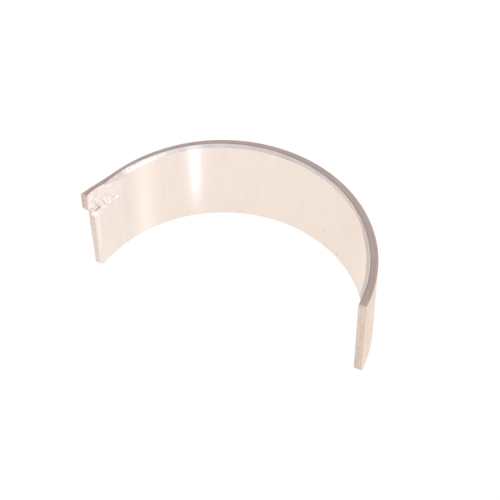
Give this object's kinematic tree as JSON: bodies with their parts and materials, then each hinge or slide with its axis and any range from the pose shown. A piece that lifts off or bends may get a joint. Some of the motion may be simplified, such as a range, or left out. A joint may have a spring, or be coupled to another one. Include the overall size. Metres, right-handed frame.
{
  "type": "engine bearing shell",
  "caption": "Half-round plain bearing shell with a chamfered bore edge and a pressed locating tang with its recess at one parting face.",
  "frame": {"origin": "middle of the footprint on the lower side face; the bore axis stands at x = 0.759 mm, y = -13.718 mm from it, because the tang widens one end", "axes": "+Z along the bore axis, up from the lower side face to the side face with the tang; +X across the open side towards the plain end; +Y from the open side towards the crown"},
  "size_m": [0.054, 0.0252, 0.0179],
  "materials": {
    "bearing_metal": "satin bright, fine-bored lining, cut and pressed edges"
  },
  "bodies": {
    "root": {"bearing_shell": "bearing_metal"}
  },
  "joints": []
}
